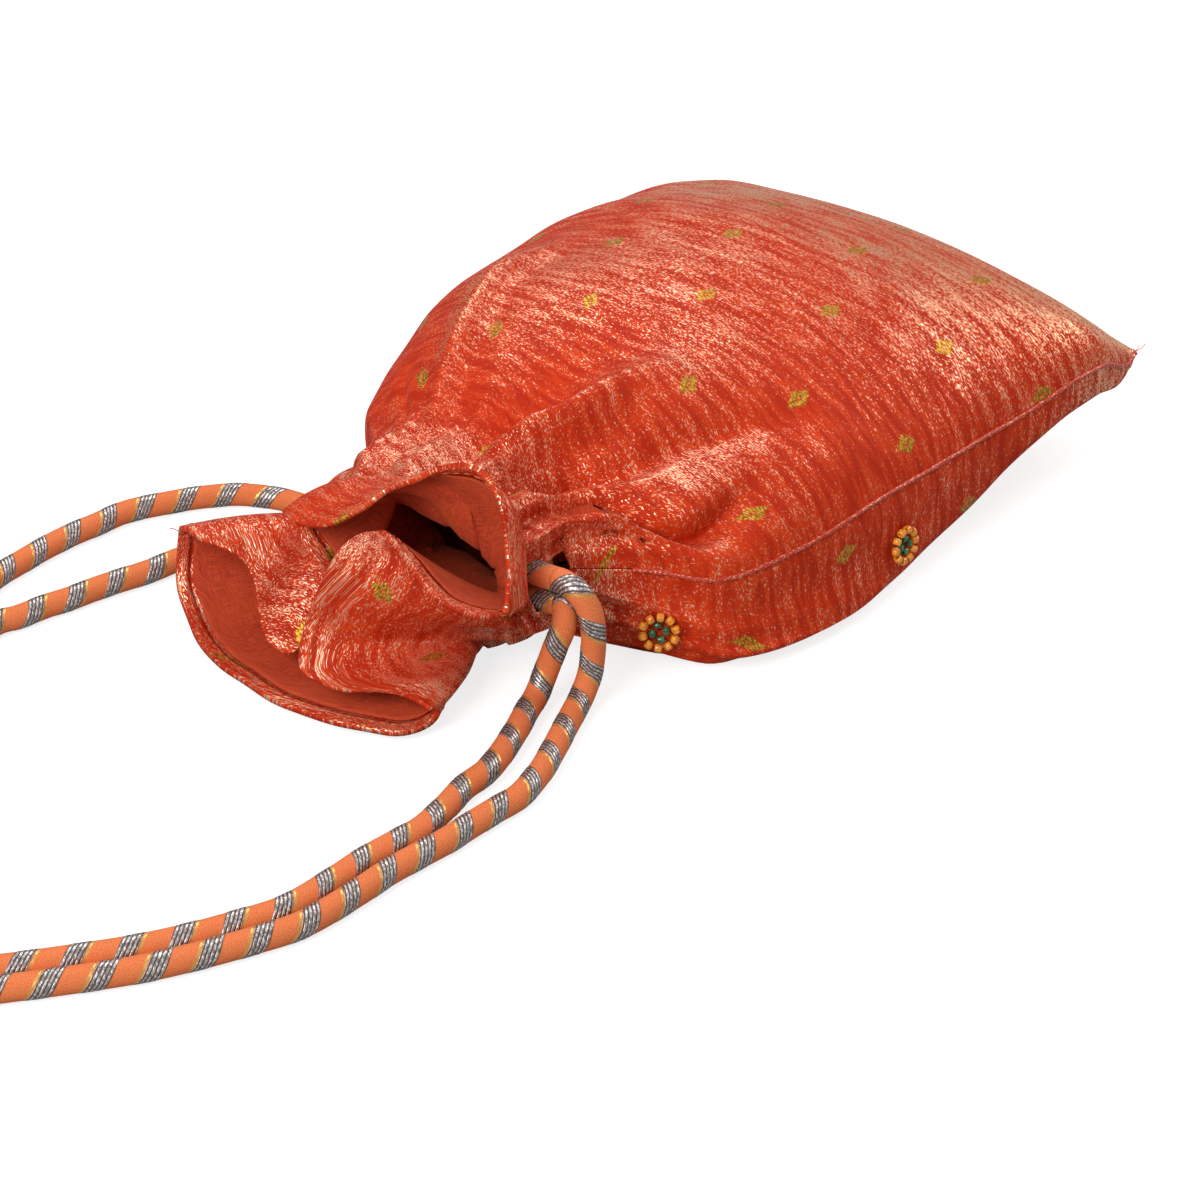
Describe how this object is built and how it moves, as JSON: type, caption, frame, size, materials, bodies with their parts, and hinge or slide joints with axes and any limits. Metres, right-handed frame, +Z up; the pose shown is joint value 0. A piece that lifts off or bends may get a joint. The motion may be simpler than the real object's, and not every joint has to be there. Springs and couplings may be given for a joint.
{
  "type": "potli bag",
  "caption": "Soft gathered drawstring pouch of woven tissue silk with a cotton lining, lying on its side with its mouth drawn closed and its drawstring loops spread out.",
  "frame": {"origin": "on the flat patch of the front panel that the bag rests on, under the stuffed body", "axes": "+X from the mouth to the base seam, +Y across the bag to the far side seam, +Z up from the surface it lies on"},
  "size_m": [0.3668, 0.1708, 0.0606],
  "materials": {
    "silk": "shot tissue silk, orange-red with gold and silver metallic threads",
    "lining": "matt plain-weave cotton",
    "cord": "cotton cord with a helical band of silver thread",
    "orange_bead": "glossy, slightly translucent",
    "green_bead": "glossy"
  },
  "bodies": {
    "root": {"outer_back_panel": "silk", "outer_front_panel": "silk", "lining_back_panel": "lining", "lining_front_panel": "lining", "near_drawstring_in_channel": "cord", "far_drawstring_in_channel": "cord", "near_drawstring_loop": "cord", "far_drawstring_loop": "cord", "side_flower_orange_bead_1": "orange_bead", "side_flower_orange_bead_2": "orange_bead", "side_flower_orange_bead_3": "orange_bead", "side_flower_orange_bead_4": "orange_bead", "side_flower_orange_bead_5": "orange_bead", "side_flower_orange_bead_6": "orange_bead", "side_flower_orange_bead_7": "orange_bead", "side_flower_orange_bead_8": "orange_bead", "side_flower_orange_bead_9": "orange_bead", "side_flower_orange_bead_10": "orange_bead", "side_flower_green_bead_1": "green_bead", "side_flower_green_bead_2": "green_bead", "side_flower_green_bead_3": "green_bead", "side_flower_green_bead_4": "green_bead", "neck_flower_orange_bead_1": "orange_bead", "neck_flower_orange_bead_2": "orange_bead", "neck_flower_orange_bead_3": "orange_bead", "neck_flower_orange_bead_4": "orange_bead", "neck_flower_orange_bead_5": "orange_bead", "neck_flower_orange_bead_6": "orange_bead", "neck_flower_orange_bead_7": "orange_bead", "neck_flower_orange_bead_8": "orange_bead", "neck_flower_orange_bead_9": "orange_bead", "neck_flower_orange_bead_10": "orange_bead", "neck_flower_green_bead_1": "green_bead", "neck_flower_green_bead_2": "green_bead", "neck_flower_green_bead_3": "green_bead", "neck_flower_green_bead_4": "green_bead"}
  },
  "joints": []
}
